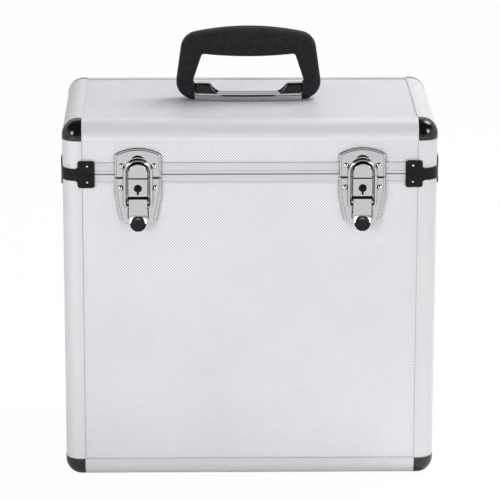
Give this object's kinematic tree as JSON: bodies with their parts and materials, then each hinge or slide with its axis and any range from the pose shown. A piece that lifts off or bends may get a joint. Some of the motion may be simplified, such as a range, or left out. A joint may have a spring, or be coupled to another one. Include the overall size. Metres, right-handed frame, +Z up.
{
  "type": "record carrying case",
  "caption": "Upright carrying case for LP records: aluminium-edged panels, hinged lid, locking draw latches and a folding top handle.",
  "frame": {"origin": "middle of the case's footprint, on the surface that it stands on", "axes": "+Z up, +X along the case's width to the right of someone facing the latches, -Y out of the latch side"},
  "size_m": [0.3556, 0.2275, 0.4195],
  "materials": {
    "panel": "embossed silver laminate",
    "profile": "satin anodised",
    "corner": "gloss black",
    "chrome": "nickel-chrome plate",
    "rivet": "nickel plate",
    "pin_rivet": "bright",
    "steel": "zinc plate",
    "handle": "fine leather grain",
    "lining": "black foam"
  },
  "bodies": {
    "base": {"base_back_panel": "panel", "base_back_rim_rail": "profile", "base_bottom_edges": "profile", "base_corner_caps": "corner", "base_corner_posts": "profile", "base_floor_pad": "lining", "base_floor_panel": "panel", "base_front_panel": "panel", "base_front_rim_rail": "profile", "base_left_panel": "panel", "base_left_rim_rail": "profile", "base_right_panel": "panel", "base_right_rim_rail": "profile", "base_seam_bracket_rivets": "pin_rivet", "base_seam_brackets": "corner", "base_wall_linings": "lining", "hinge_base_rivets": "rivet", "latch_plate_rivets": "rivet", "left_hinge_base_leaf": "chrome", "left_hinge_pin": "steel", "left_latch_pin": "steel", "left_latch_plate": "chrome", "right_hinge_base_leaf": "chrome", "right_hinge_pin": "steel", "right_latch_pin": "steel", "right_latch_plate": "chrome"},
    "lid": {"catch_plate_rivets": "rivet", "handle_backing_plate": "steel", "handle_bracket": "chrome", "handle_bracket_rivets": "rivet", "hinge_lid_rivets": "rivet", "left_catch_plate": "chrome", "left_hinge_lid_leaf": "chrome", "lid_back_panel": "panel", "lid_back_rim_rail": "profile", "lid_corner_caps": "corner", "lid_corner_posts": "profile", "lid_front_panel": "panel", "lid_front_rim_rail": "profile", "lid_left_panel": "panel", "lid_left_rim_rail": "profile", "lid_right_panel": "panel", "lid_right_rim_rail": "profile", "lid_seam_bracket_rivets": "pin_rivet", "lid_seam_brackets": "corner", "lid_top_edges": "profile", "lid_top_pad": "lining", "lid_top_panel": "panel", "lid_wall_linings": "lining", "right_catch_plate": "chrome", "right_hinge_lid_leaf": "chrome"},
    "handle": {"handle": "handle"},
    "left_lever": {"left_lever": "chrome"},
    "left_bolt": {"left_lock_bolt": "steel"},
    "left_loop": {"left_loop": "chrome"},
    "right_lever": {"right_lever": "chrome"},
    "right_bolt": {"right_lock_bolt": "steel"},
    "right_loop": {"right_loop": "chrome"}
  },
  "joints": [
    {"name": "lid_hinge", "type": "hinge", "parent": "base", "child": "lid", "pos_m": [0, 0.1064, 0.3], "axis": [-1, 0, 0], "range_deg": [0, 100]},
    {"name": "handle_fold", "type": "hinge", "parent": "lid", "child": "handle", "pos_m": [0, 0, 0.3596], "axis": [1, 0, 0], "range_deg": [-90, 90]},
    {"name": "left_lever_turn", "type": "hinge", "parent": "base", "child": "left_lever", "pos_m": [-0.105, -0.10875, 0.275], "axis": [-1, 0, 0], "range_deg": [0, 115]},
    {"name": "left_loop_turn", "type": "hinge", "parent": "left_lever", "child": "left_loop", "pos_m": [-0.105, -0.10725, 0.2699], "axis": [-1, 0, 0], "range_deg": [-144, 0]},
    {"name": "left_bolt_slide", "type": "slide", "parent": "base", "child": "left_bolt", "axis": [0, 0, -1], "range_m": [0, 0.0025]},
    {"name": "right_lever_turn", "type": "hinge", "parent": "base", "child": "right_lever", "pos_m": [0.105, -0.10875, 0.275], "axis": [-1, 0, 0], "range_deg": [0, 115]},
    {"name": "right_loop_turn", "type": "hinge", "parent": "right_lever", "child": "right_loop", "pos_m": [0.105, -0.10725, 0.2699], "axis": [-1, 0, 0], "range_deg": [-144, 0]},
    {"name": "right_bolt_slide", "type": "slide", "parent": "base", "child": "right_bolt", "axis": [0, 0, -1], "range_m": [0, 0.0025]}
  ],
  "couplings": [
    {"joint": "left_loop_turn", "follows": "left_lever_turn", "ratio": -1.25},
    {"joint": "right_loop_turn", "follows": "right_lever_turn", "ratio": -1.25}
  ]
}
